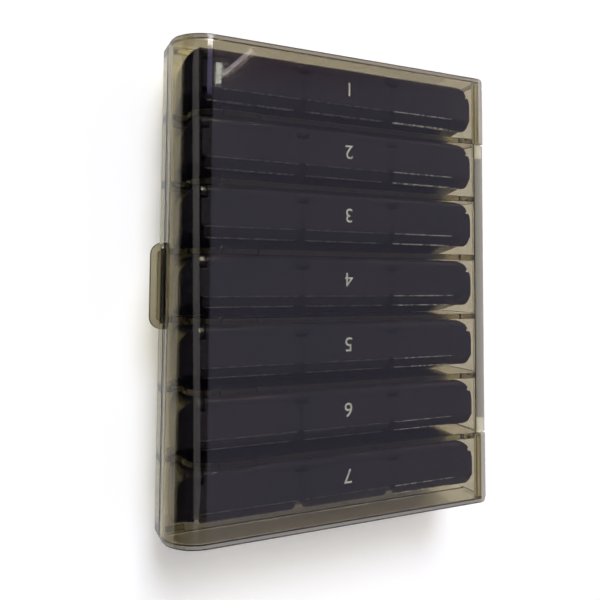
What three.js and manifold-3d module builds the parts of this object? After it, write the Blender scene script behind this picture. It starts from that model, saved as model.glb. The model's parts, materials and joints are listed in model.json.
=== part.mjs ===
// A weekly medicine organiser: a clear hinged case with seven lift-out day boxes of three compartments.
// Millimetres, +Z up. The case lies flat on its tray. +X is the hinge side, -X the rounded side with the
// latch tab, and +Y is the end of the first day box. The origin is the middle of the object's underside.

import * as THREE from "three";
import { mergeVertices } from "three/addons/utils/BufferGeometryUtils.js";
import Module from "manifold-3d";

const wasm = await Module();
wasm.setup();

// Driving dimensions of the case
const caseWidth = 127;
const caseLength = 170;
const caseHeight = 31;
const lidDepth = 14.7;
const caseWall = 1.6;
const lidCurveRadius = 13;
const trayCurveRadius = 10;
const hingeRadius = 2.4;
const hingeCornerRadius = 3;
const frontCornerRadius = 1.2;

// Clearances between moulded pieces, how far a cutter runs past what it cuts, and when two corners are one
const fitGap = 0.3;
const hingeGap = 0.4;
const slitGap = 0.6;
const overrun = 2;
const weldDistance = 1e-5;

// Latch tab of the lid and the finger lip of the tray below it
const tabReach = 5;
const tabLength = 29.5;
const tabThickness = 1.6;
const tabCornerRadius = 4.2;
const tabRootReach = 1.5;
const tabRootHeight = 2.7;
const trayLipReach = 2.2;
const trayLipLength = 24;
const trayLipDepth = 2.4;

// Hinge of the case
const stubRadius = 0.9;
const stubLength = 5;
const stubBoreRadius = 1.3;

// Row of day boxes and the ribs between them
const dayCount = 7;
const mealCount = 3;
const endRoom = 2.4;
const ribThickness = 2.2;
const ribPadRise = 0.6;
const ribPadLength = 13;
const ribBackPadLength = 6;
const ribShoulderStart = 7;
const ribShoulderRadius = 9.3;
const guideDrop = 1.2;
const guideLength = 7.4;
const lidPadWidth = 3.4;
const lidPadDepth = 0.25;

// Day boxes
const boxFrontGap = 2;
const boxBackGap = 4.2;
const boxWall = 1.2;
const boxFloor = 1.3;
const boxEdgeRadius = 4;
const boxHingeCornerRadius = 8;
const boxFrontCornerRadius = 3.5;
const boxNoseGap = 0.6;
const boxHeelGap = 0.4;
const boxNoseLength = 5.7;
const boxFrontSlopeDepth = 14;
const lipSetback = 3;
const lipOverhang = 1.8;
const cavityRadius = 4.5;
const boxLidDrop = 2.8;

// Compartment lids
const mealLidGap = 0.3;
const mealLidThickness = 1.4;
const lipWidth = 4.1;
const lipDrop = 2.8;
const lipThickness = 1.3;
const lipNotch = 1.3;
const lipCornerRadius = 1.8;
const hookRadius = 2.1;
const hookInset = 2.4;
const rodRadius = 0.75;
const hookBoreRadius = 1.2;
const plateGap = 0.35;
const hookMouthTurn = Math.PI / 12;

// How finely curves are cut: segments in a half turn of an arc
const coarseArc = 2;
const fineArc = 4;
const pinArc = 6;
const shellArc = 8;

// Places worked out from the sizes
const left = -(caseWidth + tabReach) / 2 + tabReach;
const right = left + caseWidth;
const halfLength = caseLength / 2;
const hingeX = right - hingeRadius;
const hingeZ = caseHeight - hingeRadius;
const lidRim = caseHeight - lidDepth;
const rimHeight = lidRim - fitGap;
const guideHeight = rimHeight - guideDrop;
const lidUnderside = caseHeight - caseWall;
const boxBottom = caseWall + fitGap;
const boxLeft = left + caseWall + boxFrontGap;
const boxRight = right - caseWall - boxBackGap;
const boxTop = caseHeight - boxLidDrop;
const slotPitch = (caseLength - 2 * endRoom) / dayCount;
const ribHeight = lidUnderside - lidPadDepth - fitGap - ribPadRise;
const boxNoseRadius = lidCurveRadius - caseWall - boxNoseGap;
const boxHeelRadius = trayCurveRadius - caseWall - boxHeelGap;
const boxWidth = slotPitch - ribThickness - 2 * fitGap;
const lidRowStart = boxLeft + boxNoseLength;
const mealPitch = (boxRight - lidRowStart) / mealCount;
const hookLength = mealPitch - 2 * hookInset;
const rodY = boxWidth / 2 - hookRadius;
const rodZ = boxTop - hookRadius;
const seatZ = boxTop - mealLidThickness - fitGap;
const lipTipY = -boxWidth / 2 + lipSetback;
const boxRimY = lipTipY + lipOverhang;
const foldY = lipTipY + lipWidth;
const plateEndY = rodY - hookRadius - plateGap;
const middleHalf = ((dayCount - 2) * slotPitch - ribThickness) / 2 - slitGap;

// Materials
const clearSmoke = new THREE.MeshStandardMaterial({
  color: 0x8f8b72,
  roughness: 0.12,
  metalness: 0,
  transparent: true,
  opacity: 0.45,
});
const darkBox = new THREE.MeshStandardMaterial({ color: 0x2a2b33, roughness: 0.22, metalness: 0 });
const darkLid = new THREE.MeshStandardMaterial({ color: 0x303139, roughness: 0.2, metalness: 0 });

/** Turns a closed geometry into a solid that can be joined and cut. */
function solid(geometry) {
  const bare = geometry.clone();
  bare.deleteAttribute("normal");
  bare.deleteAttribute("uv");
  const merged = mergeVertices(bare, weldDistance);
  const mesh = new wasm.Mesh({
    numProp: 3,
    vertProperties: Float32Array.from(merged.attributes.position.array),
    triVerts: Uint32Array.from(merged.index.array),
  });
  return new wasm.Manifold(mesh);
}

/** Extrudes a shape upwards: the shape's x and y are X and Y. */
function extrudeUp(shape, fromZ, toZ, curveSegments = fineArc) {
  const options = { depth: toZ - fromZ, bevelEnabled: false, curveSegments };
  return solid(new THREE.ExtrudeGeometry(shape, options).translate(0, 0, fromZ));
}

/** Extrudes a shape along Y: the shape's x and y are X and Z. */
function extrudeAlongY(shape, fromY, toY, curveSegments = fineArc) {
  const options = { depth: toY - fromY, bevelEnabled: false, curveSegments };
  const geometry = new THREE.ExtrudeGeometry(shape, options);
  return solid(geometry.rotateX(Math.PI / 2).translate(0, toY, 0));
}

/** Extrudes a shape along X: the shape's x and y are Y and Z. */
function extrudeAlongX(shape, fromX, toX, curveSegments = fineArc) {
  const options = { depth: toX - fromX, bevelEnabled: false, curveSegments };
  const turn = new THREE.Matrix4().makeBasis(
    new THREE.Vector3(0, 1, 0),
    new THREE.Vector3(0, 0, 1),
    new THREE.Vector3(1, 0, 0),
  );
  const geometry = new THREE.ExtrudeGeometry(shape, options).applyMatrix4(turn);
  return solid(geometry.translate(fromX, 0, 0));
}

/** A closed polygon through a list of points. */
function polygon(points) {
  return new THREE.Shape(points.map(([x, y]) => new THREE.Vector2(x, y)));
}

/** A rectangle given by two opposite corners. */
function rectangle(x0, y0, x1, y1) {
  return polygon([[x0, y0], [x1, y0], [x1, y1], [x0, y1]]);
}

/** A disc. */
function disc(x, y, radius) {
  const shape = new THREE.Shape();
  shape.absarc(x, y, radius, 0, 2 * Math.PI, false);
  return shape;
}

/** A rectangle with rounded corners, radii in the order lower left, lower right, upper right, upper left. */
function roundedRectangle(x0, y0, x1, y1, [lowerLeft, lowerRight, upperRight, upperLeft]) {
  const shape = new THREE.Shape();
  const quarter = Math.PI / 2;
  shape.moveTo(x0 + lowerLeft, y0);
  shape.lineTo(x1 - lowerRight, y0);
  shape.absarc(x1 - lowerRight, y0 + lowerRight, lowerRight, -quarter, 0, false);
  shape.lineTo(x1, y1 - upperRight);
  shape.absarc(x1 - upperRight, y1 - upperRight, upperRight, 0, quarter, false);
  shape.lineTo(x0 + upperLeft, y1);
  shape.absarc(x0 + upperLeft, y1 - upperLeft, upperLeft, quarter, 2 * quarter, false);
  shape.lineTo(x0, y0 + lowerLeft);
  shape.absarc(x0 + lowerLeft, y0 + lowerLeft, lowerLeft, 2 * quarter, 3 * quarter, false);
  return shape;
}

/** Joins a list of solids. */
function join(pieces) {
  return pieces.reduce((sum, piece) => sum.add(piece));
}

/** Makes the named mesh of a finished solid. */
function meshOf(name, body, material) {
  const { vertProperties, triVerts } = body.getMesh();
  const geometry = new THREE.BufferGeometry();
  geometry.setAttribute("position", new THREE.BufferAttribute(Float32Array.from(vertProperties), 3));
  geometry.setIndex(new THREE.BufferAttribute(Uint32Array.from(triVerts), 1));
  geometry.computeVertexNormals();
  const mesh = new THREE.Mesh(geometry, material);
  mesh.name = name;
  return mesh;
}

/** The outline of the case seen from above, which trims both halves. */
function casePlan() {
  const corners = [frontCornerRadius, hingeCornerRadius, hingeCornerRadius, frontCornerRadius];
  return roundedRectangle(left, -halfLength, right, halfLength, corners);
}

/** Where the ribs stand: one beside each day box, and one past the last. */
function ribPlaces() {
  return Array.from({ length: dayCount + 1 }, (_, k) => (k - dayCount / 2) * slotPitch);
}

/** The section of the tray, grown inwards by an inset. */
function traySection(inset, top) {
  const shape = new THREE.Shape();
  const curve = trayCurveRadius - inset;
  const corner = hingeRadius - inset;
  shape.moveTo(left + inset, top);
  shape.lineTo(left + inset, trayCurveRadius);
  shape.absarc(left + trayCurveRadius, trayCurveRadius, curve, Math.PI, 1.5 * Math.PI, false);
  shape.lineTo(right - hingeRadius, inset);
  shape.absarc(right - hingeRadius, hingeRadius, corner, -Math.PI / 2, 0, false);
  shape.lineTo(right - inset, top);
  return shape;
}

/** A rib seen from the side: low by the rounded front, then up over a round shoulder to its full height. */
function ribSection() {
  const start = left + caseWall / 2;
  const shoulder = left + ribShoulderStart;
  const end = right - caseWall / 2;
  const shape = new THREE.Shape();
  const footRadius = trayCurveRadius - caseWall / 2;
  shape.absarc(left + trayCurveRadius, trayCurveRadius, footRadius, Math.PI, 1.5 * Math.PI, false);
  shape.lineTo(end, caseWall / 2);
  shape.lineTo(end, ribHeight);
  shape.lineTo(shoulder + ribShoulderRadius, ribHeight);
  const middleZ = ribHeight - ribShoulderRadius;
  shape.absarc(shoulder + ribShoulderRadius, middleZ, ribShoulderRadius, Math.PI / 2, Math.PI, false);
  shape.lineTo(shoulder, guideHeight);
  shape.lineTo(start, guideHeight);
  return shape;
}

/** One rib between two day boxes, with its raised pads that the closed lid touches. */
function rib(y) {
  const y0 = y - ribThickness / 2;
  const y1 = y + ribThickness / 2;
  const padStart = left + ribShoulderStart + ribShoulderRadius;
  const padTop = ribHeight + ribPadRise;
  const padBottom = ribHeight - ribPadRise;
  const frontPad = rectangle(padStart, padBottom, padStart + ribPadLength, padTop);
  const backPad = rectangle(hingeX - hingeRadius - ribBackPadLength, padBottom, hingeX, padTop);
  return join([
    extrudeAlongY(ribSection(), y0, y1),
    extrudeAlongY(frontPad, y0, y1),
    extrudeAlongY(backPad, y0, y1),
  ]);
}

/** The short low guide at each end of the row, by the rounded front: the lower front end of a rib. */
function guide(y) {
  const inner = halfLength - caseWall / 2;
  const y0 = Math.max(y - ribThickness / 2, -inner);
  const y1 = Math.min(y + ribThickness / 2, inner);
  const reach = rectangle(left, 0, left + caseWall + guideLength, guideHeight);
  return extrudeAlongY(ribSection(), y0, y1).intersect(extrudeAlongY(reach, y0 - overrun, y1 + overrun));
}

/** The tray: floor, walls, ribs, tall back wall with the middle barrel of the hinge, and the finger lip. */
function trayBase() {
  const innerHalf = halfLength - caseWall;
  const backHalf = innerHalf - fitGap;
  const shell = extrudeAlongY(traySection(0, rimHeight), -halfLength, halfLength, shellArc);
  const hollowSection = traySection(caseWall, rimHeight + overrun);
  const hollow = extrudeAlongY(hollowSection, -innerHalf, innerHalf, shellArc);
  const earWallTop = hingeZ - hingeRadius - fitGap;
  const backWall = rectangle(right - caseWall, hingeRadius, right, earWallTop);
  const middleWall = rectangle(right - caseWall, hingeRadius, right, hingeZ);
  const middleStart = -middleHalf;
  const middleEnd = middleHalf;
  const [firstGuide, ...others] = ribPlaces();
  const lastGuide = others.pop();
  const ribs = join([...others.map(rib), guide(firstGuide), guide(lastGuide)]);
  const swing = extrudeAlongY(disc(hingeX, hingeZ, hingeRadius + hingeGap), -halfLength, halfLength);
  const swungLid = rectangle(hingeX, earWallTop, right + overrun, caseHeight + overrun);
  const lip = roundedRectangle(
    left - trayLipReach,
    -trayLipLength / 2,
    left + caseWall,
    trayLipLength / 2,
    [trayLipReach, 0, 0, trayLipReach].map((radius) => radius / 2),
  );
  let tray = shell
    .subtract(hollow)
    .add(extrudeAlongY(backWall, -backHalf, backHalf))
    .add(ribs)
    .subtract(swing)
    .subtract(extrudeAlongY(swungLid, -halfLength, halfLength))
    .add(extrudeAlongY(middleWall, middleStart, middleEnd))
    .add(extrudeAlongY(disc(hingeX, hingeZ, hingeRadius), middleStart, middleEnd, pinArc))
    .intersect(extrudeUp(casePlan(), -overrun, caseHeight + overrun))
    .add(extrudeUp(lip, rimHeight - trayLipDepth, rimHeight));
  const boreDepth = stubLength + fitGap;
  for (const [from, to] of [
    [middleStart - overrun, middleStart + boreDepth],
    [middleEnd - boreDepth, middleEnd + overrun],
  ]) {
    tray = tray.subtract(extrudeAlongY(disc(hingeX, hingeZ, stubBoreRadius), from, to, pinArc));
  }
  return tray;
}

/** The section of the lid, with the lower hinge corner rounded about the hinge so that it swings clear. */
function lidSection() {
  const swingRadius = hingeZ - lidRim;
  const drop = Math.sqrt(swingRadius ** 2 - hingeRadius ** 2);
  const shape = new THREE.Shape();
  shape.moveTo(left, lidRim);
  shape.lineTo(hingeX, lidRim);
  shape.absarc(hingeX, hingeZ, swingRadius, -Math.PI / 2, -Math.atan2(drop, hingeRadius), false);
  shape.lineTo(right, hingeZ);
  shape.absarc(hingeX, hingeZ, hingeRadius, 0, Math.PI / 2, false);
  shape.lineTo(left + lidCurveRadius, caseHeight);
  const middleZ = caseHeight - lidCurveRadius;
  shape.absarc(left + lidCurveRadius, middleZ, lidCurveRadius, Math.PI / 2, Math.PI, false);
  return shape;
}

/** The space inside the lid, open downwards and towards the hinge. */
function lidHollow() {
  const shape = new THREE.Shape();
  shape.moveTo(left + caseWall, lidRim - overrun);
  shape.lineTo(right + overrun, lidRim - overrun);
  shape.lineTo(right + overrun, lidUnderside);
  shape.lineTo(left + lidCurveRadius, lidUnderside);
  const middleZ = caseHeight - lidCurveRadius;
  const radius = lidCurveRadius - caseWall;
  shape.absarc(left + lidCurveRadius, middleZ, radius, Math.PI / 2, Math.PI, false);
  return shape;
}

/** The latch tab with its raised root along the lid's rim. */
function latchTab() {
  const half = tabLength / 2;
  const plate = roundedRectangle(left - tabReach, -half, left + caseWall / 2, half, [
    tabCornerRadius,
    0,
    0,
    tabCornerRadius,
  ]);
  const rootHalf = half - tabCornerRadius / 2;
  const root = polygon([
    [left - tabRootReach, lidRim],
    [left + caseWall / 2, lidRim],
    [left + caseWall / 2, lidRim + tabRootHeight],
    [left - tabRootReach / 2, lidRim + tabRootHeight],
  ]);
  return join([
    extrudeUp(plate, lidRim, lidRim + tabThickness),
    extrudeAlongY(root, -rootHalf, rootHalf),
  ]);
}

/** The shallow pads under the lid, one over each rib. */
function lidPads() {
  const start = left + ribShoulderStart + ribShoulderRadius;
  const half = lidPadWidth / 2;
  return join(
    ribPlaces().slice(1, -1).map((y) => {
      const plan = rectangle(start, y - half, start + ribPadLength, y + half);
      return extrudeUp(plan, lidUnderside - lidPadDepth, lidUnderside + caseWall / 2);
    }),
  );
}

/** The clear lid: flat top, rounded front, end walls, rib pads, hinge ears with stub pins, and latch tab. */
function caseLid() {
  const innerHalf = halfLength - caseWall;
  const earStart = middleHalf + slitGap;
  const openingStart = hingeX - hingeRadius - hingeGap;
  const opening = rectangle(openingStart, hingeZ - hingeRadius, right + overrun, caseHeight + overrun);
  const barrel = disc(hingeX, hingeZ, hingeRadius);
  const stub = disc(hingeX, hingeZ, stubRadius);
  let lid = extrudeAlongY(lidSection(), -halfLength, halfLength, shellArc)
    .subtract(extrudeAlongY(lidHollow(), -innerHalf, innerHalf, shellArc))
    .subtract(extrudeAlongY(opening, -earStart, earStart))
    .add(extrudeAlongY(barrel, -halfLength, -earStart, pinArc))
    .add(extrudeAlongY(barrel, earStart, halfLength, pinArc))
    .add(lidPads())
    .intersect(extrudeUp(casePlan(), -overrun, caseHeight + overrun));
  const stubReach = slitGap + stubLength;
  const stubRoot = caseWall;
  lid = lid
    .add(extrudeAlongY(stub, -earStart - stubRoot, -earStart + stubReach, pinArc))
    .add(extrudeAlongY(stub, earStart - stubReach, earStart + stubRoot, pinArc));
  return lid.add(latchTab());
}

/** The plan of a day box. */
function boxPlan() {
  const hingeCorner = boxHingeCornerRadius;
  const corners = [boxFrontCornerRadius, hingeCorner, hingeCorner, hingeCorner];
  return roundedRectangle(boxLeft, -boxWidth / 2, boxRight, boxWidth / 2, corners);
}

/** The side view of a day box: its nose follows the case lid's curve and its heel the tray's. */
function boxSide() {
  const shape = new THREE.Shape();
  const noseX = left + lidCurveRadius;
  const noseZ = caseHeight - lidCurveRadius;
  const heelX = left + trayCurveRadius;
  const noseAngle = Math.acos((noseX - boxLeft) / boxNoseRadius);
  const heelAngle = Math.acos((heelX - boxLeft) / boxHeelRadius);
  const topAngle = Math.asin((boxTop - noseZ) / boxNoseRadius);
  const bottomAngle = Math.asin((trayCurveRadius - boxBottom) / boxHeelRadius - fitGap / boxHeelRadius);
  shape.moveTo(heelX - boxHeelRadius * Math.cos(bottomAngle), boxBottom);
  shape.lineTo(boxRight - boxEdgeRadius, boxBottom);
  shape.absarc(boxRight - boxEdgeRadius, boxBottom + boxEdgeRadius, boxEdgeRadius, -Math.PI / 2, 0, false);
  shape.lineTo(boxRight, boxTop);
  shape.absarc(noseX, noseZ, boxNoseRadius, Math.PI - topAngle, Math.PI - noseAngle, false);
  shape.absarc(
    heelX,
    trayCurveRadius,
    boxHeelRadius,
    Math.PI + heelAngle,
    Math.PI + bottomAngle,
    false,
  );
  return shape;
}

/** The end view of a day box or its room: round lower edges, and a wall that slopes back under the lips. */
function boxEnd(inset, bottom, radius, top) {
  const front = -boxWidth / 2 + inset;
  const back = boxWidth / 2 - inset;
  const shape = new THREE.Shape();
  const quarter = Math.PI / 2;
  shape.moveTo(front + radius, bottom);
  shape.lineTo(back - radius, bottom);
  shape.absarc(back - radius, bottom + radius, radius, -quarter, 0, false);
  shape.lineTo(back, top);
  shape.lineTo(boxRimY + inset, top);
  shape.lineTo(boxRimY + inset, seatZ);
  shape.lineTo(front, seatZ - boxFrontSlopeDepth);
  shape.lineTo(front, bottom + radius);
  shape.absarc(front + radius, bottom + radius, radius, 2 * quarter, 3 * quarter, false);
  return shape;
}

/** The space above a day box's rim that the lids and their hooks take. */
function seatSection() {
  const farY = boxWidth;
  const slope = lipDrop / (lipWidth - plateGap);
  const hookFront = rodY - hookRadius - fitGap;
  const troughZ = rodZ - hookRadius / 2;
  return polygon([
    [-farY, seatZ - (farY + foldY) * slope],
    [foldY, seatZ],
    [hookFront, seatZ],
    [hookFront, troughZ],
    [farY, troughZ],
    [farY, boxTop + overrun],
    [-farY, boxTop + overrun],
  ]);
}

/** The start and end of a compartment lid's length, counted from the front. */
function mealSpan(meal) {
  const start = lidRowStart + meal * mealPitch;
  return [start + mealLidGap / 2, start + mealPitch - mealLidGap / 2];
}

/** The gaps between the hooks along the rod, where the box's own knuckles stand. */
function knuckleSpans() {
  const knuckleLength = hookInset - fitGap;
  const first = [lidRowStart, lidRowStart + knuckleLength];
  const between = Array.from({ length: mealCount - 1 }, (_, meal) => {
    const edge = lidRowStart + (meal + 1) * mealPitch;
    return [edge - knuckleLength, edge + knuckleLength];
  });
  return [first, ...between, [boxRight - knuckleLength, boxRight]];
}

/** The body of a day box: three compartments, rounded nose, knuckles and the rod that the lids clip over. */
function dayBox() {
  const outline = extrudeUp(boxPlan(), boxBottom - overrun, boxTop + overrun);
  const end = boxEnd(0, boxBottom, boxEdgeRadius, boxTop);
  let box = extrudeAlongY(boxSide(), -boxWidth, boxWidth)
    .intersect(outline)
    .intersect(extrudeAlongX(end, boxLeft - overrun, boxRight + overrun, coarseArc));
  const seatStart = lidRowStart - fitGap;
  box = box.subtract(extrudeAlongX(seatSection(), seatStart, boxRight + overrun));
  const room = boxEnd(boxWall, boxBottom + boxFloor, cavityRadius, boxTop + overrun);
  const firstWall = lidRowStart;
  for (let meal = 0; meal < mealCount; meal += 1) {
    const from = firstWall + meal * mealPitch + boxWall / 2;
    const to = firstWall + (meal + 1) * mealPitch - (meal === mealCount - 1 ? boxWall : boxWall / 2);
    const corner = boxHingeCornerRadius - boxWall;
    const corners = [0, 0, meal === mealCount - 1 ? corner : 0, 0];
    const plan = roundedRectangle(from, -boxWidth, to, boxWidth / 2 - boxWall, corners);
    const space = extrudeAlongX(room, from, to, coarseArc);
    box = box.subtract(space.intersect(extrudeUp(plan, boxBottom, boxTop + 2 * overrun, coarseArc)));
  }
  const swing = disc(rodY, rodZ, hookRadius + fitGap);
  box = box.subtract(extrudeAlongX(swing, seatStart, boxRight + overrun));
  const stem = rectangle(rodY - rodRadius, rodZ - 2 * hookRadius, boxWidth / 2, rodZ);
  for (const [from, to] of knuckleSpans()) {
    box = box.add(extrudeAlongX(disc(rodY, rodZ, hookRadius), from, to));
    box = box.add(extrudeAlongX(stem, from, to));
  }
  const [rodStart] = knuckleSpans()[0];
  const rodEnd = boxRight - boxHingeCornerRadius / 2;
  box = box.add(extrudeAlongX(disc(rodY, rodZ, rodRadius), rodStart, rodEnd));
  return box.intersect(outline);
}

/** The section of a compartment lid's plate, with its sloping thumb lip. */
function plateSection() {
  const tipY = lipTipY;
  const underFoldY = foldY + plateGap;
  return polygon([
    [tipY, boxTop - lipDrop - lipThickness],
    [underFoldY, boxTop - mealLidThickness],
    [plateEndY, boxTop - mealLidThickness],
    [plateEndY, boxTop],
    [foldY, boxTop],
    [tipY, boxTop - lipDrop],
  ]);
}

/** The hook that clips over the rod, seen along the rod. */
function hookSection() {
  const open = -Math.PI / 2 + hookMouthTurn;
  const shape = new THREE.Shape();
  shape.absarc(rodY, rodZ, hookRadius, open, Math.PI, false);
  shape.absarc(rodY, rodZ, hookBoreRadius, Math.PI, open, true);
  return shape;
}

/** The plan of a compartment lid: its lip is a little shorter, which leaves a notch between two lids. */
function lidPlan(meal) {
  const [from, to] = mealSpan(meal);
  const isLast = meal === mealCount - 1;
  const tipY = lipTipY;
  const corner = lipCornerRadius;
  const lipEnd = isLast ? to : to - lipNotch;
  const shape = new THREE.Shape();
  shape.moveTo(from + lipNotch + corner, tipY);
  shape.lineTo(lipEnd - corner, tipY);
  shape.absarc(lipEnd - corner, tipY + corner, corner, -Math.PI / 2, 0, false);
  if (!isLast) {
    shape.lineTo(lipEnd, foldY);
    shape.lineTo(to, foldY);
  }
  shape.lineTo(to, boxWidth);
  shape.lineTo(from, boxWidth);
  shape.lineTo(from, foldY);
  shape.lineTo(from + lipNotch, foldY);
  shape.lineTo(from + lipNotch, tipY + corner);
  shape.absarc(from + lipNotch + corner, tipY + corner, corner, Math.PI, 1.5 * Math.PI, false);
  return shape;
}

/** A compartment lid; the last one follows its day box's round corner at the hinge side. */
function mealLid(meal) {
  const [from, to] = mealSpan(meal);
  const middle = (from + to) / 2;
  const hookFrom = middle - hookLength / 2;
  const hookTo = middle + hookLength / 2;
  const bridge = rectangle(
    plateEndY - plateGap,
    boxTop - mealLidThickness,
    rodY - hookBoreRadius,
    boxTop,
  );
  const plan = extrudeUp(lidPlan(meal), boxBottom, boxTop + overrun, coarseArc);
  const lid = join([
    extrudeAlongX(plateSection(), from, to).intersect(plan),
    extrudeAlongX(bridge, hookFrom, hookTo),
    extrudeAlongX(hookSection(), hookFrom, hookTo),
  ]);
  if (meal < mealCount - 1) return lid;
  const cornerRadius = boxHingeCornerRadius;
  const cornerPlan = roundedRectangle(from - overrun, -boxWidth, to, boxWidth / 2, [0, 0, cornerRadius, 0]);
  return lid.intersect(extrudeUp(cornerPlan, boxBottom, boxTop + overrun));
}

const medicineBox = new THREE.Group();
medicineBox.add(meshOf("case_tray", trayBase(), clearSmoke));
medicineBox.add(meshOf("case_lid", caseLid(), clearSmoke));

const boxSolid = dayBox();
const lidSolids = Array.from({ length: mealCount }, (_, meal) => mealLid(meal));
const mealNames = ["front", "middle", "back"];
for (let day = 0; day < dayCount; day += 1) {
  const place = new THREE.Group();
  place.position.y = ((dayCount - 1) / 2 - day) * slotPitch;
  place.add(meshOf(`day_box_${day + 1}`, boxSolid, darkBox));
  lidSolids.forEach((lid, meal) => {
    place.add(meshOf(`day_${day + 1}_lid_${mealNames[meal]}`, lid, darkLid));
  });
  medicineBox.add(place);
}

export default medicineBox;
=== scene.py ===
"""A weekly medicine organiser: a clear smoke-tinted case around seven dark day boxes with small lids.

The frame holds the moulded pieces at their real size. This script rounds their edges, gives each its plastic,
prints a number on each day's middle lid, and sets the case on a pale floor under soft studio light.
"""

import json
import logging
import math
from dataclasses import dataclass
from enum import Enum

import bpy
from mathutils import Matrix, Vector

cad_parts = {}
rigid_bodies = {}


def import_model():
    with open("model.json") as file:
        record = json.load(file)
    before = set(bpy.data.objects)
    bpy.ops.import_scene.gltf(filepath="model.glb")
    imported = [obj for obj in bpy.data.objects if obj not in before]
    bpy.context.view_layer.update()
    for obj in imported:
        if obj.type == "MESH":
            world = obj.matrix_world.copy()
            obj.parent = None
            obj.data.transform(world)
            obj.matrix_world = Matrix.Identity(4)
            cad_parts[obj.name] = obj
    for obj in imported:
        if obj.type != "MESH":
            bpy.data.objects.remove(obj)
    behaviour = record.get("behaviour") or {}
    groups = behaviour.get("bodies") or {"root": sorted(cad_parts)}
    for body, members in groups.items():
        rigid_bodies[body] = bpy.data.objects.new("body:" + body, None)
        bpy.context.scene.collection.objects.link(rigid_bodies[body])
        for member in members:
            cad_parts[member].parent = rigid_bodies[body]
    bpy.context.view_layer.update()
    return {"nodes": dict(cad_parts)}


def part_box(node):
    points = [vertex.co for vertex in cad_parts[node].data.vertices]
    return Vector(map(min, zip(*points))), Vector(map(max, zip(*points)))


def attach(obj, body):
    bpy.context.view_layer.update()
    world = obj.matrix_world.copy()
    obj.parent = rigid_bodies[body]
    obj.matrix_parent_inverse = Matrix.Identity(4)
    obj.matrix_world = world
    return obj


MILLIMETRE = 0.001
LOG = logging.getLogger("medicine_organiser")

Socket = bpy.types.NodeSocket
Triple = tuple[float, float, float]
Window = tuple[float, float]

WHITE: Triple = (1.0, 1.0, 1.0)

# The colour sockets of the Mix node. They go by number, because sockets for other kinds share their names.
MIX_SHARE = 0
MIX_FIRST = 6
MIX_SECOND = 7
MIX_RESULT = 2


class Meal(Enum):
    """The three compartments of a day box, counted from the rounded front of the case."""

    FRONT = "front"
    MIDDLE = "middle"
    BACK = "back"


def mm(value: float) -> float:
    """Turns millimetres into metres."""
    return value * MILLIMETRE


def wear(piece: bpy.types.Object, material: bpy.types.Material) -> None:
    """Gives a piece one material all over."""
    piece.data.materials.clear()
    piece.data.materials.append(material)


def bring_in(name: str, data: bpy.types.ID) -> bpy.types.Object:
    """Makes an object and links it to the scene.

    Args:
        name: The object's name.
        data: Its mesh, text, lamp or camera.

    Returns:
        The new object.
    """
    item = bpy.data.objects.new(name, data)
    bpy.context.scene.collection.objects.link(item)
    return item


def turned_from(back: Vector, upward: Triple) -> Matrix:
    """Finds the turn of a lamp or camera, both of which look along their own -Z.

    Args:
        back: The direction behind the object, of length 1.
        upward: The direction that its own Y leans to.

    Returns:
        The turn, as a 4 by 4 matrix.
    """
    side = Vector(upward).cross(back).normalized()
    return Matrix((side, back.cross(side), back)).transposed().to_4x4()


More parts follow.
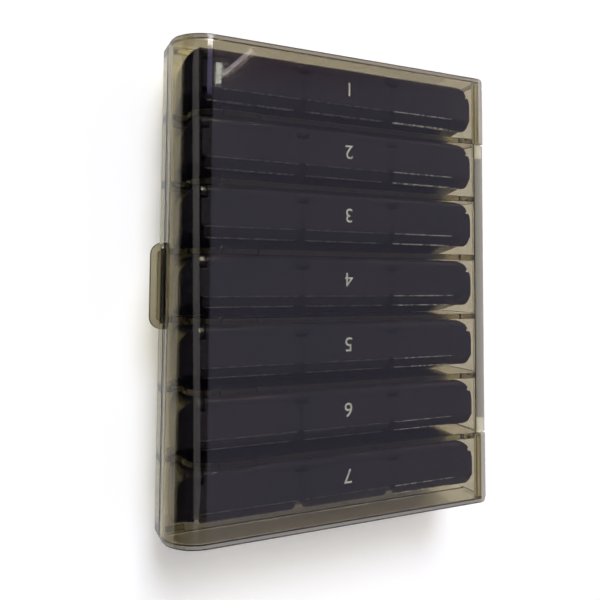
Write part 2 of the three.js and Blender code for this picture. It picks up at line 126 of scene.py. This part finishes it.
class NodeGraph:
    """A node tree, with short ways to add nodes and join them."""

    def __init__(self, tree: bpy.types.NodeTree) -> None:
        """Starts from an empty tree.

        Args:
            tree: The tree of a material or of the room.
        """
        self.tree = tree
        self.tree.nodes.clear()

    def feed(self, entry: Socket, source: Socket | Triple | float) -> None:
        """Links an input to a socket, or sets it to a plain value.

        Args:
            entry: The input.
            source: A socket, a number, a vector or an opaque colour.
        """
        if isinstance(source, Socket):
            self.tree.links.new(source, entry)
        elif entry.type == "RGBA":
            entry.default_value = (*source, 1.0)
        else:
            entry.default_value = source

    def add(self, kind: str, inputs: dict | None = None, **values: object) -> bpy.types.Node:
        """Adds a node.

        Args:
            kind: The node's type.
            inputs: What feeds the node, by the name or number of each input.
            values: Properties of the node, such as an operation or a colour mode.

        Returns:
            The new node.
        """
        node = self.tree.nodes.new(kind)
        for key, value in values.items():
            setattr(node, key, value)
        for key, source in (inputs or {}).items():
            self.feed(node.inputs[key], source)
        return node

    def axes(self, vector: Socket) -> dict[str, Socket]:
        """Splits a vector.

        Args:
            vector: The vector.

        Returns:
            The sockets with its three numbers, under X, Y and Z.
        """
        outputs = self.add("ShaderNodeSeparateXYZ", {"Vector": vector}).outputs
        return {axis: outputs[axis] for axis in "XYZ"}

    def reckon(self, operation: str, *operands: Socket | float) -> Socket:
        """Does one step of arithmetic.

        Args:
            operation: The step, as the Math node calls it.
            operands: What goes in, in order.

        Returns:
            The socket with the result.
        """
        return self.add("ShaderNodeMath", dict(enumerate(operands)), operation=operation).outputs["Value"]

    def product(self, first: Socket, *others: Socket | float) -> Socket:
        """Multiplies fields.

        Args:
            first: The first field.
            others: The fields and plain numbers to multiply it by.

        Returns:
            The socket with the product.
        """
        result = first
        for other in others:
            result = self.reckon("MULTIPLY", result, other)
        return result

    def spread(
        self,
        value: Socket,
        low: float,
        high: float,
        start: float = 0.3,
        end: float = 0.7,
        smooth: bool = False,
    ) -> Socket:
        """Maps a field to a range.

        Args:
            value: The field.
            low: What its low end becomes.
            high: What its high end becomes.
            start: The field's value at the low end.
            end: The field's value at the high end.
            smooth: Whether it eases in and out at the two ends.

        Returns:
            The socket with the mapped value.
        """
        inputs = {"Value": value, "From Min": start, "From Max": end, "To Min": low, "To Max": high}
        ease = "SMOOTHSTEP" if smooth else "LINEAR"
        return self.add("ShaderNodeMapRange", inputs, interpolation_type=ease).outputs["Result"]

    def blend(self, share: Socket, first: Socket | Triple, second: Socket | Triple) -> Socket:
        """Mixes two colours by a field.

        Args:
            share: How much of the second colour shows.
            first: The colour where the share is 0.
            second: The colour where the share is 1.

        Returns:
            The socket with the mixed colour.
        """
        inputs = {MIX_SHARE: share, MIX_FIRST: first, MIX_SECOND: second}
        return self.add("ShaderNodeMix", inputs, data_type="RGBA").outputs[MIX_RESULT]

    def either(self, share: Socket, first: bpy.types.Node, second: bpy.types.Node) -> Socket:
        """Mixes two shaders by a field.

        Args:
            share: How much of the second shader shows.
            first: The node of the first shader.
            second: The node of the second shader.

        Returns:
            The socket with the mixed shader.
        """
        inputs = {0: share, 1: first.outputs[0], 2: second.outputs[0]}
        return self.add("ShaderNodeMixShader", inputs).outputs["Shader"]


class FinishGraph(NodeGraph):
    """The node tree of one finish."""

    def __init__(self, name: str) -> None:
        """Starts an empty material.

        Args:
            name: The material's name.
        """
        self.material = bpy.data.materials.new(name)
        self.material.use_nodes = True
        super().__init__(self.material.node_tree)

    def place(self) -> Socket:
        """The point on the piece, in metres in the part's own frame."""
        return self.add("ShaderNodeTexCoord").outputs["Object"]

    def noise(self, period: float, detail: float = 3.0, stretch: Triple = (1.0, 1.0, 1.0)) -> Socket:
        """Makes a soft random field.

        Args:
            period: The size of its blotches, in metres.
            detail: How many finer layers it has.
            stretch: How much faster it changes along each axis.

        Returns:
            The socket with its value.
        """
        mapping = self.add("ShaderNodeMapping", {"Vector": self.place(), "Scale": stretch})
        inputs = {"Vector": mapping.outputs["Vector"], "Scale": 1 / period, "Detail": detail}
        return self.add("ShaderNodeTexNoise", inputs).outputs["Fac"]

    def relief(self, height: Socket, depth: float, below: Socket | None = None) -> Socket:
        """Turns a height field into a surface relief.

        Args:
            height: The field.
            depth: How deep it is, in metres.
            below: Another relief that this one lies on.

        Returns:
            The socket with the surface direction.
        """
        inputs = {"Height": height, "Distance": depth, "Strength": 1.0}
        if below is not None:
            inputs["Normal"] = below
        return self.add("ShaderNodeBump", inputs).outputs["Normal"]

    def finish(self, surface: Socket, volume: Socket | None = None) -> bpy.types.Material:
        """Completes the material.

        Args:
            surface: The shader of the surface.
            volume: The shader of the plastic below it, where light goes in.

        Returns:
            The material.
        """
        inputs = {"Surface": surface}
        if volume is not None:
            inputs["Volume"] = volume
        self.add("ShaderNodeOutputMaterial", inputs)
        return self.material


@dataclass(frozen=True)
class ClearSmokePlastic:
    """Smoke-tinted clear polystyrene with wipe marks, hair scratches and painted shade: a deeper olive at the
    rounded front.

    Attributes:
        name: The material's name.
        tint: The colour that each surface gives to what is seen through it.
        wiped: The same colour where the surface was wiped.
        absorbed: The colour that is left after a long way through the plastic.
        absorption: How fast light is lost on the way.
        gloss: The roughness of the clean surface.
        smudge: The roughness of the wipe marks.
        smudge_window: Where in their field the wipe marks start, and where they are full.
        scratch_window: The same for the scratches.
        matt_from: Where across and above the matt hinge starts.
        matt_share: How cloudy the hinge is.
        lamp_light: The share of lamp light that goes through to what the plastic covers.
        front_tint: The deeper olive colour painted on the rounded front as shade.
        front_from: Where the painted shade starts.
        front_until: Where it is full.
        rim_from: Where along the row the cloudy edge of an end wall starts, if it has one.
        rim_until: Where it ends.
        rim_share: How cloudy it is.
        rim_facing: How far sideways a face looks where the cloud starts to fade, and where none is left.
    """

    name: str
    tint: Triple
    wiped: Triple
    absorbed: Triple = (0.45, 0.38, 0.03)
    absorption: float = 40.0
    gloss: float = 0.015
    smudge: float = 0.06
    refraction: float = 1.57
    smudge_size: float = mm(22)
    smudge_window: Window = (0.45, 0.8)
    ripple_size: float = mm(38)
    ripple_depth: float = mm(0.05)
    scratch_size: float = mm(6)
    scratch_stretch: Triple = (1.0, 26.0, 1.0)
    scratch_window: Window = (0.6, 0.72)
    scratch_depth: float = mm(0.001)
    matt_from: Window = (mm(61.3), mm(25.8))
    matt_share: float = 0.4
    matt_blur: float = mm(0.4)
    lamp_light: Triple = (0.9, 0.9, 0.9)
    front_tint: Triple = (0.69, 0.64, 0.48)
    front_from: float = mm(-53)
    front_until: float = mm(-60)
    rim_from: float | None = None
    rim_until: float = mm(84.4)
    rim_share: float = 0.3
    rim_blur: float = mm(0.15)
    rim_facing: Window = (0.5, 0.7)

    def rim(self, graph: FinishGraph, along: Socket) -> Socket:
        """Finds the cloudy upper edges of the end walls.

        Args:
            graph: The finish's node tree.
            along: The place along the row.

        Returns:
            The socket with the share of cloud.
        """
        facing = graph.axes(graph.add("ShaderNodeNewGeometry").outputs["Normal"])
        sideways = graph.reckon("ABSOLUTE", facing["Y"])
        upward = graph.spread(sideways, self.rim_share, 0.0, *self.rim_facing)
        outward = graph.reckon("ABSOLUTE", along)
        beyond = graph.spread(outward, 0.0, 1.0, self.rim_from, self.rim_from + self.rim_blur)
        within = graph.spread(outward, 1.0, 0.0, self.rim_until, self.rim_until + self.rim_blur)
        return graph.product(upward, beyond, within)

    def clarity(self, graph: FinishGraph, place: dict[str, Socket]) -> Socket:
        """Finds how clear the plastic is: all clear, but for the hinge and the edges of the end walls.

        Args:
            graph: The finish's node tree.
            place: The point on the piece, by axis.

        Returns:
            The socket with the share of light that goes through.
        """
        matt_across, matt_above = self.matt_from
        across = graph.spread(place["X"], 0.0, 1.0, matt_across, matt_across + self.matt_blur)
        above = graph.spread(place["Z"], 0.0, 1.0, matt_above, matt_above + self.matt_blur)
        clouded = graph.product(across, above, self.matt_share)
        if self.rim_from is not None:
            clouded = graph.reckon("MAXIMUM", clouded, self.rim(graph, place["Y"]))
        return graph.reckon("SUBTRACT", 1.0, clouded)

    def material(self) -> bpy.types.Material:
        """Builds the material.

        Returns:
            The finish as a material that lets lamp light through to what it covers.
        """
        graph = FinishGraph(self.name)
        place = graph.axes(graph.place())
        smudges = graph.noise(self.smudge_size, detail=4)
        wiped = graph.blend(graph.spread(smudges, 0.0, 1.0), self.tint, self.wiped)
        # Painted shade: the colour turns deeper olive towards the rounded front.
        front = graph.spread(place["X"], 1.0, 0.0, self.front_until, self.front_from)
        ripple = graph.relief(graph.noise(self.ripple_size, detail=1), self.ripple_depth)
        hairs = graph.noise(self.scratch_size, detail=5, stretch=self.scratch_stretch)
        scratches = graph.spread(hairs, 0.0, 1.0, *self.scratch_window)
        plastic = graph.add("ShaderNodeBsdfPrincipled", {
            "Base Color": graph.blend(front, wiped, self.front_tint),
            "Roughness": graph.spread(smudges, self.gloss, self.smudge, *self.smudge_window),
            "IOR": self.refraction,
            "Transmission Weight": self.clarity(graph, place),
            "Normal": graph.relief(scratches, self.scratch_depth, ripple),
        })
        clear = graph.add("ShaderNodeBsdfTransparent", {"Color": self.lamp_light})
        lamp_ray = graph.add("ShaderNodeLightPath").outputs["Is Shadow Ray"]
        depth = graph.add("ShaderNodeVolumeAbsorption", {"Color": self.absorbed, "Density": self.absorption})
        return graph.finish(graph.either(lamp_ray, plastic, clear), depth.outputs["Volume"])


@dataclass(frozen=True)
class WornLine:
    """A painted highlight: a pale line along a row of lids, where a lip edge catches light.

    Attributes:
        place: Where it runs, along the case from the middle of its day box.
        half_width: How far the pale colour reaches to each side.
        strength: The share of the pale colour in its middle.
    """

    place: float
    half_width: float
    strength: float


@dataclass(frozen=True)
class DarkGlossPlastic:
    """Near-black moulded plastic with a violet cast, glossy on its flat faces, with pale painted highlights
    along the lip edges.

    Attributes:
        name: The material's name.
        deep: The colour of the plastic.
        cast: The violet that clouds it.
        gloss: The roughness where it is clean.
        haze: The roughness where it is dull.
        worn: The colour of the painted highlights on the lip edges.
        row_pitch: The distance from one day box to the next.
        mark_least: The share of the painted highlight that is left between its mottled marks.
        mark_window: Where in their field the marks start, and where they are full.
        strong_from: Where across the case the strong painted highlight near the hinge starts.
        strong_fade: The width over which it starts.
        strong_until: Where it ends.
        end_fade: The width over which it ends.
        faint: The share of the painted highlight elsewhere.
    """

    name: str
    deep: Triple
    cast: Triple
    gloss: float = 0.10
    haze: float = 0.22
    haze_size: float = mm(22.5)
    refraction: float = 1.5
    blotch_size: float = mm(45)
    peel_size: float = mm(2.6)
    peel_depth: float = mm(0.006)
    coat: float = 0.35
    coat_gloss: float = 0.06
    worn: Triple = (0.86, 0.90, 0.96)
    row_pitch: float = mm(23.6)
    worn_lines: tuple[WornLine, ...] = ()
    mark_size: float = mm(1.3)
    mark_least: float = 0.2
    mark_window: Window = (0.42, 0.58)
    strong_from: float = mm(22)
    strong_fade: float = mm(1)
    strong_until: float = mm(49)
    end_fade: float = mm(3)
    faint: float = 0.2

    def rubbed(self, graph: FinishGraph) -> Socket:
        """Finds where pale highlights are painted along the edges of the lips, most of all near the hinge.

        Args:
            graph: The finish's node tree.

        Returns:
            The socket with the share of the pale colour.
        """
        place = graph.axes(graph.place())
        across = graph.reckon("WRAP", place["Y"], self.row_pitch / 2, -self.row_pitch / 2)
        marks = graph.spread(
            graph.noise(self.mark_size, detail=3), self.mark_least, 1.0, *self.mark_window
        )
        near_hinge = graph.spread(
            place["X"], self.faint, 1.0, self.strong_from, self.strong_from + self.strong_fade
        )
        before_end = graph.spread(
            place["X"], 1.0, 0.0, self.strong_until, self.strong_until + self.end_fade
        )
        lines: Socket | float = 0.0
        for line in self.worn_lines:
            away = graph.reckon("ABSOLUTE", graph.reckon("SUBTRACT", across, line.place))
            drawn = graph.spread(away, line.strength, 0.0, line.half_width / 2, line.half_width)
            lines = graph.reckon("MAXIMUM", drawn, lines)
        return graph.product(marks, near_hinge, before_end, lines)

    def material(self) -> bpy.types.Material:
        """Builds the material.

        Returns:
            The finish as a material.
        """
        graph = FinishGraph(self.name)
        blotches = graph.noise(self.blotch_size, detail=2)
        colour = graph.blend(graph.spread(blotches, 0.0, 1.0), self.deep, self.cast)
        # Painted highlight: pale mottled lines on the lip edges, strongest near the hinge.
        if self.worn_lines:
            colour = graph.blend(self.rubbed(graph), colour, self.worn)
        plastic = graph.add("ShaderNodeBsdfPrincipled", {
            "Base Color": colour,
            "Roughness": graph.spread(graph.noise(self.haze_size, detail=5), self.gloss, self.haze),
            "IOR": self.refraction,
            "Coat Weight": self.coat,
            "Coat Roughness": self.coat_gloss,
            "Normal": graph.relief(graph.noise(self.peel_size, detail=2), self.peel_depth),
        })
        return graph.finish(plastic.outputs["BSDF"])


@dataclass(frozen=True)
class PrintedInk:
    """Pale pad-printed ink, a little thin in places."""

    name: str = "pale_print"
    pale: Triple = (0.56, 0.62, 0.74)
    thin: Triple = (0.44, 0.49, 0.60)
    grain_size: float = mm(0.7)
    gloss: float = 0.42
    haze: float = 0.57

    def material(self) -> bpy.types.Material:
        """Builds the material.

        Returns:
            The finish as a material.
        """
        graph = FinishGraph(self.name)
        grain = graph.noise(self.grain_size, detail=3)
        plastic = graph.add("ShaderNodeBsdfPrincipled", {
            "Base Color": graph.blend(graph.spread(grain, 0.0, 1.0), self.pale, self.thin),
            "Roughness": graph.spread(grain, self.gloss, self.haze),
        })
        return graph.finish(plastic.outputs["BSDF"])


@dataclass(frozen=True)
class StudioPaper:
    """The pale sheet that the case lies on, a little brighter where the camera sees it directly.

    Attributes:
        name: The material's name.
        pale: The colour of the sheet.
        dimmer: The share of that colour in the darker parts of its grain.
        lift: How much brighter it is to the camera.
    """

    name: str = "studio_paper"
    pale: Triple = (0.93, 0.93, 0.93)
    dimmer: float = 0.99
    lift: float = 0.17
    grain_size: float = mm(90)
    roughness: float = 0.9

    def material(self) -> bpy.types.Material:
        """Builds the material.

        Returns:
            The finish as a material.
        """
        graph = FinishGraph(self.name)
        grain = graph.spread(graph.noise(self.grain_size), 0.0, 1.0)
        dim = tuple(channel * self.dimmer for channel in self.pale)
        paper = graph.add("ShaderNodeBsdfPrincipled", {
            "Base Color": graph.blend(grain, self.pale, dim),
            "Roughness": self.roughness,
            "Specular IOR Level": 0.0,
        })
        seen = graph.add("ShaderNodeLightPath").outputs["Is Camera Ray"]
        glow = graph.add("ShaderNodeEmission", {"Color": WHITE, "Strength": graph.product(seen, self.lift)})
        both = graph.add("ShaderNodeAddShader", {0: paper.outputs["BSDF"], 1: glow.outputs["Emission"]})
        return graph.finish(both.outputs["Shader"])


@dataclass(frozen=True)
class MouldedEdges:
    """Rounds the sharp edges of a moulded piece and evens out its shading.

    Attributes:
        radius: The width of the rounding.
        steps: How many strips the rounding has.
        sharp_angle: The least angle between two faces that makes their edge a sharp one.
        flat_angle: The greatest angle between faces that count as one flat face.
        join_distance: The distance within which corners count as one corner.
        face_weight: How far large faces decide the shading, where 100 is the most.
    """

    radius: float
    steps: int = 3
    sharp_angle: float = math.radians(32)
    flat_angle: float = math.radians(0.5)
    join_distance: float = mm(0.05)
    face_weight: int = 100

    def soften(self, piece: bpy.types.Object) -> None:
        """Rounds a piece with modifiers and shades its faces smoothly.

        Args:
            piece: The piece.
        """
        join = piece.modifiers.new("joined_corners", "WELD")
        join.merge_threshold = self.join_distance
        merge = piece.modifiers.new("one_face_per_flat", "DECIMATE")
        merge.decimate_type = "DISSOLVE"
        merge.angle_limit = self.flat_angle
        bevel = piece.modifiers.new("moulded_edge", "BEVEL")
        bevel.width = self.radius
        bevel.segments = self.steps
        bevel.limit_method = "ANGLE"
        bevel.angle_limit = self.sharp_angle
        bevel.use_clamp_overlap = False
        for polygon in piece.data.polygons:
            polygon.use_smooth = True
        shade = piece.modifiers.new("even_shading", "WEIGHTED_NORMAL")
        shade.weight = self.face_weight
        shade.keep_sharp = True


@dataclass
class Case:
    """The clear tray and its hinged lid."""

    nodes: dict[str, bpy.types.Object]
    tray_finish: ClearSmokePlastic = ClearSmokePlastic(
        "tray_plastic",
        tint=(0.80, 0.76, 0.64),
        wiped=(0.77, 0.73, 0.61),
    )
    lid_finish: ClearSmokePlastic = ClearSmokePlastic(
        "lid_plastic",
        tint=(0.82, 0.79, 0.72),
        wiped=(0.79, 0.76, 0.69),
        absorption=190.0,
        matt_from=(mm(62.6), mm(18)),
        rim_from=mm(83.3),
    )
    tray_edges: MouldedEdges = MouldedEdges(radius=mm(0.25))
    lid_edges: MouldedEdges = MouldedEdges(radius=mm(0.45))

    def dress(self) -> None:
        """Softens both halves and gives each its clear plastic."""
        for name, edges, finish in (
            ("case_tray", self.tray_edges, self.tray_finish),
            ("case_lid", self.lid_edges, self.lid_finish),
        ):
            piece = self.nodes[name]
            edges.soften(piece)
            wear(piece, finish.material())
            LOG.info("dressed %s", name)


@dataclass(frozen=True)
class PrintedNumber:
    """A plain number on the middle lid of a day, printed upside down as seen with the hinge on the right.

    Attributes:
        day: The number.
        ink: The material of the print.
        height: The height of the digit.
        digit_share: The height of a digit as a share of the size of its font.
        curve_steps: How finely the curves of the digit are drawn.
        film: The thickness of the print.
        rise: The height of the middle of the print over the top of the lid.
        off_centre: How far it lies from the middle of its day box, along the case.
    """

    day: int
    ink: bpy.types.Material
    height: float = mm(5.1)
    digit_share: float = 0.7
    curve_steps: int = 12
    film: float = mm(0.03)
    rise: float = mm(0.02)
    off_centre: float = mm(2.8)

    def shape(self) -> bpy.types.Mesh:
        """Makes the number as a thin solid film about its own middle.

        Returns:
            The film's mesh.
        """
        text = bpy.data.curves.new(f"day_{self.day}_number", "FONT")
        text.body = str(self.day)
        text.align_x = "CENTER"
        text.align_y = "CENTER"
        text.size = self.height / self.digit_share
        text.extrude = self.film / 2
        text.resolution_u = self.curve_steps
        written = bring_in(f"day_{self.day}_number_shape", text)
        bpy.context.view_layer.update()
        mesh = bpy.data.meshes.new_from_object(written.evaluated_get(bpy.context.evaluated_depsgraph_get()))
        bpy.data.objects.remove(written)
        return mesh

    def build(self) -> bpy.types.Object:
        """Prints the number on its lid.

        Returns:
            The piece, riding on its lid.
        """
        name = f"day_{self.day}_lid_{Meal.MIDDLE.value}"
        low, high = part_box(name)
        box_low, box_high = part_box(f"day_box_{self.day}")
        piece = bring_in(f"day_{self.day}_number", self.shape())
        middle_y = (box_low.y + box_high.y) / 2 + self.off_centre
        place = Vector(((low.x + high.x) / 2, middle_y, high.z + self.rise))
        piece.data.transform(Matrix.Translation(place) @ Matrix.Rotation(math.pi, 4, "Z"))
        wear(piece, self.ink)
        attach(piece, name)
        return piece


@dataclass
class DayBoxes:
    """The seven day boxes, each with three lidded compartments."""

    nodes: dict[str, bpy.types.Object]
    days: int = 7
    box_finish: DarkGlossPlastic = DarkGlossPlastic(
        "dark_box_plastic",
        deep=(0.009, 0.010, 0.018),
        cast=(0.013, 0.010, 0.020),
    )
    lid_finish: DarkGlossPlastic = DarkGlossPlastic(
        "dark_lid_plastic",
        deep=(0.010, 0.011, 0.020),
        cast=(0.014, 0.011, 0.022),
        # Painted highlights along the tip and the fold of each lid's lip.
        worn_lines=(
            WornLine(place=mm(-7.25), half_width=mm(0.36), strength=1.0),
            WornLine(place=mm(-3.5), half_width=mm(0.26), strength=0.6),
        ),
    )
    ink: PrintedInk = PrintedInk()
    box_edges: MouldedEdges = MouldedEdges(radius=mm(0.2))
    lid_edges: MouldedEdges = MouldedEdges(radius=mm(0.2))

    def dress(self) -> None:
        """Softens every box and lid, gives them their plastic and prints the numbers."""
        box_plastic = self.box_finish.material()
        lid_plastic = self.lid_finish.material()
        ink = self.ink.material()
        for day in range(1, self.days + 1):
            box = self.nodes[f"day_box_{day}"]
            self.box_edges.soften(box)
            wear(box, box_plastic)
            for meal in Meal:
                lid = self.nodes[f"day_{day}_lid_{meal.value}"]
                self.lid_edges.soften(lid)
                wear(lid, lid_plastic)
            PrintedNumber(day, ink).build()
            LOG.info("dressed day %d", day)


@dataclass(frozen=True)
class SoftLamp:
    """A rectangular lamp, placed by the direction in which the case sees it.

    Attributes:
        name: The lamp's name.
        towards: The direction from the case to the lamp.
        away: The distance to it, in metres.
        size: Its width and length, in metres.
        glow: How bright its face is.
        colour: The colour of its light.
        length_along: The direction that its length leans to.
    """

    name: str
    towards: Triple
    away: float
    size: tuple[float, float]
    glow: float
    colour: Triple = WHITE
    length_along: Triple = (0.0, 1.0, 0.0)

    def hang(self) -> None:
        """Hangs the lamp so that it faces the case."""
        width, length = self.size
        lamp = bpy.data.lights.new(self.name, "AREA")
        lamp.shape = "RECTANGLE"
        lamp.size = width
        lamp.size_y = length
        lamp.energy = self.glow * math.pi * width * length
        lamp.color = self.colour
        back = Vector(self.towards).normalized()
        holder = bring_in(self.name, lamp)
        holder.matrix_world = Matrix.Translation(back * self.away) @ turned_from(back, self.length_along)


@dataclass(frozen=True)
class RoomLight:
    """The light that comes from all around: pale over the hinge side, and dark over the rounded front.

    Each place is a direction in the room, given as one part of a direction of length 1.

    Attributes:
        pale: The light over the hinge side.
        rosy: The light over the first day.
        dark: The light over the rounded front.
        dark_until: Where across the case the dark ends.
        pale_from: Where across the case the pale light is full.
        rosy_from: Where along the case the rosy light starts.
        rosy_until: Where along the case it is full.
        dim_share: How much of the light is left over the last day.
        dim_from: Where along the case the light starts to fall.
        dim_until: Where along the case it has fallen to that share.
        no_bounces: A number between none and one, to tell light that has not bounced yet.
    """

    pale: Triple = (0.27, 0.265, 0.40)
    rosy: Triple = (0.17, 0.11, 0.17)
    dark: Triple = (0.010, 0.010, 0.020)
    dark_until: float = 0.08
    pale_from: float = 0.22
    rosy_from: float = 0.27
    rosy_until: float = 0.36
    dim_share: float = 0.45
    dim_from: float = -0.38
    dim_until: float = -0.52
    no_bounces: float = 0.5

    def shown(self, graph: NodeGraph) -> Socket:
        """Finds what the camera sees of the room, directly or straight through clear plastic.

        Args:
            graph: The room's node tree.

        Returns:
            The socket with 1 where the room is seen, and 0 where it only gives light.
        """
        path = graph.add("ShaderNodeLightPath").outputs
        bounces = graph.reckon("ADD", path["Diffuse Depth"], path["Glossy Depth"])
        straight = graph.reckon("LESS_THAN", bounces, self.no_bounces)
        through = graph.product(path["Is Transmission Ray"], straight)
        return graph.reckon("MAXIMUM", path["Is Camera Ray"], through)

    def fill(self) -> None:
        """Makes the room, which is white where it is seen."""
        world = bpy.data.worlds.new("room")
        world.use_nodes = True
        graph = NodeGraph(world.node_tree)
        direction = graph.axes(graph.add("ShaderNodeTexCoord").outputs["Generated"])
        rosy = graph.spread(direction["Y"], 0.0, 1.0, self.rosy_from, self.rosy_until, smooth=True)
        overhead = graph.blend(rosy, self.pale, self.rosy)
        bright = graph.spread(direction["X"], 0.0, 1.0, self.dark_until, self.pale_from, smooth=True)
        colour = graph.blend(bright, self.dark, overhead)
        level = graph.spread(direction["Y"], self.dim_share, 1.0, self.dim_until, self.dim_from)
        lit = graph.add("ShaderNodeBackground", {"Color": colour, "Strength": level})
        white = graph.add("ShaderNodeBackground", {"Color": WHITE, "Strength": 1.0})
        graph.add("ShaderNodeOutputWorld", {"Surface": graph.either(self.shown(graph), lit, white)})
        bpy.context.scene.world = world


@dataclass(frozen=True)
class Studio:
    """The floor, the lamps and the camera.

    Attributes:
        eye: Where the camera stands, in metres.
        looks_at: The point on the floor that it looks at.
        picture_up: The direction that is upwards in the picture.
        roll: How far the camera is turned about its own axis.
        lens: The focal length, in millimetres.
        sensor: The width of the sensor, in millimetres.
        upward_shift: How far the picture is shifted, as a share of its width.
        nearest: The distance from which the camera sees things.
        floor_size: The length of each side of the floor.
        floor_drop: The gap between the case and the floor.
        sun_towards: The direction from the case to the main light.
        sun_strength: The strength of the main light.
        sun_width: The angle that the main light fills, which makes its shadow soft.
        room: The light of the room.
        lamps: The lamps beside the main light.
    """

    eye: Triple = (mm(-108.2), mm(2.6), mm(234.2))
    looks_at: Triple = (mm(-2.5), mm(16.8), 0.0)
    picture_up: Triple = (0.0, 1.0, 0.0)
    roll: float = 0.0071
    lens: float = 38.1
    sensor: float = 36.0
    upward_shift: float = -0.0935
    nearest: float = mm(5)
    floor_size: float = 4.0
    floor_drop: float = mm(0.05)
    sun_towards: Triple = (0.02, 1.1, 1.0)
    sun_strength: float = 3.05
    sun_width: float = math.radians(28)
    room: RoomLight = RoomLight()
    lamps: tuple[SoftLamp, ...] = (
        SoftLamp(
            "hinge_side_lamp", towards=(1.4, 0.9, 1.0), away=1.3, size=(0.6, 0.9), glow=0.8,
            colour=(1.0, 0.99, 0.97),
        ),
        SoftLamp(
            "front_strip", towards=(-0.55, 0.0, 0.8), away=1.0, size=(0.3, 1.1), glow=0.5,
            colour=(0.97, 0.95, 1.0), length_along=(-0.27, 0.6, -0.2),
        ),
        SoftLamp(
            "low_fill", towards=(-0.2, -0.85, 1.0), away=1.2, size=(0.5, 0.4), glow=2.5,
        ),
        SoftLamp(
            "window_top", towards=(-0.07, 0.49, 1.0), away=1.1, size=(0.26, 0.09), glow=8.0,
        ),
        SoftLamp(
            "window_sky", towards=(-0.07, 0.405, 1.0), away=1.1, size=(0.26, 0.11), glow=1.0,
            colour=(0.5, 0.48, 1.0),
        ),
        SoftLamp(
            "window_bar", towards=(0.2445, 0.402, 1.0), away=1.1, size=(0.012, 0.038), glow=5.0,
            colour=(0.92, 1.0, 0.92),
        ),
        SoftLamp(
            "window_slant", towards=(0.281, 0.429, 1.0), away=1.1, size=(0.008, 0.075), glow=3.5,
            colour=(1.0, 0.9, 0.97), length_along=(1.0, 1.0, -0.7),
        ),
    )

    def place_camera(self) -> None:
        """Sets the camera where the photograph was taken from."""
        camera = bring_in("camera", bpy.data.cameras.new("camera"))
        camera.data.lens = self.lens
        camera.data.sensor_width = self.sensor
        camera.data.shift_y = self.upward_shift
        camera.data.clip_start = self.nearest
        eye = Vector(self.eye)
        back = (eye - Vector(self.looks_at)).normalized()
        turned = turned_from(back, self.picture_up) @ Matrix.Rotation(self.roll, 4, "Z")
        camera.matrix_world = Matrix.Translation(eye) @ turned
        bpy.context.scene.camera = camera

    def lay_floor(self) -> None:
        """Lays the pale sheet under the case."""
        half = self.floor_size / 2
        outline = [(-half, -half, 0), (half, -half, 0), (half, half, 0), (-half, half, 0)]
        mesh = bpy.data.meshes.new("floor")
        mesh.from_pydata(outline, [], [(0, 1, 2, 3)])
        floor = bring_in("floor", mesh)
        floor.location.z = -self.floor_drop
        wear(floor, StudioPaper().material())

    def shine_sun(self) -> None:
        """Adds the broad main light, which throws the soft shadow below the case in the picture."""
        sun = bpy.data.lights.new("main_light", "SUN")
        sun.energy = self.sun_strength
        sun.angle = self.sun_width
        holder = bring_in("main_light", sun)
        holder.rotation_mode = "QUATERNION"
        holder.rotation_quaternion = Vector(self.sun_towards).to_track_quat("Z", "Y")

    def light(self) -> None:
        """Sets the main light, the lamps and the even light of the room."""
        self.shine_sun()
        for lamp in self.lamps:
            lamp.hang()
        self.room.fill()


def main() -> None:
    """Loads the frame, dresses its pieces and sets up the studio."""
    logging.basicConfig(level=logging.INFO, format="%(name)s: %(message)s")
    scene = bpy.context.scene
    for leftover in list(scene.objects):
        bpy.data.objects.remove(leftover)
    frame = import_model()
    scene.view_settings.view_transform = "Standard"
    studio = Studio()
    studio.place_camera()
    Case(frame["nodes"]).dress()
    DayBoxes(frame["nodes"]).dress()
    studio.lay_floor()
    studio.light()


if __name__ == "__main__":
    main()
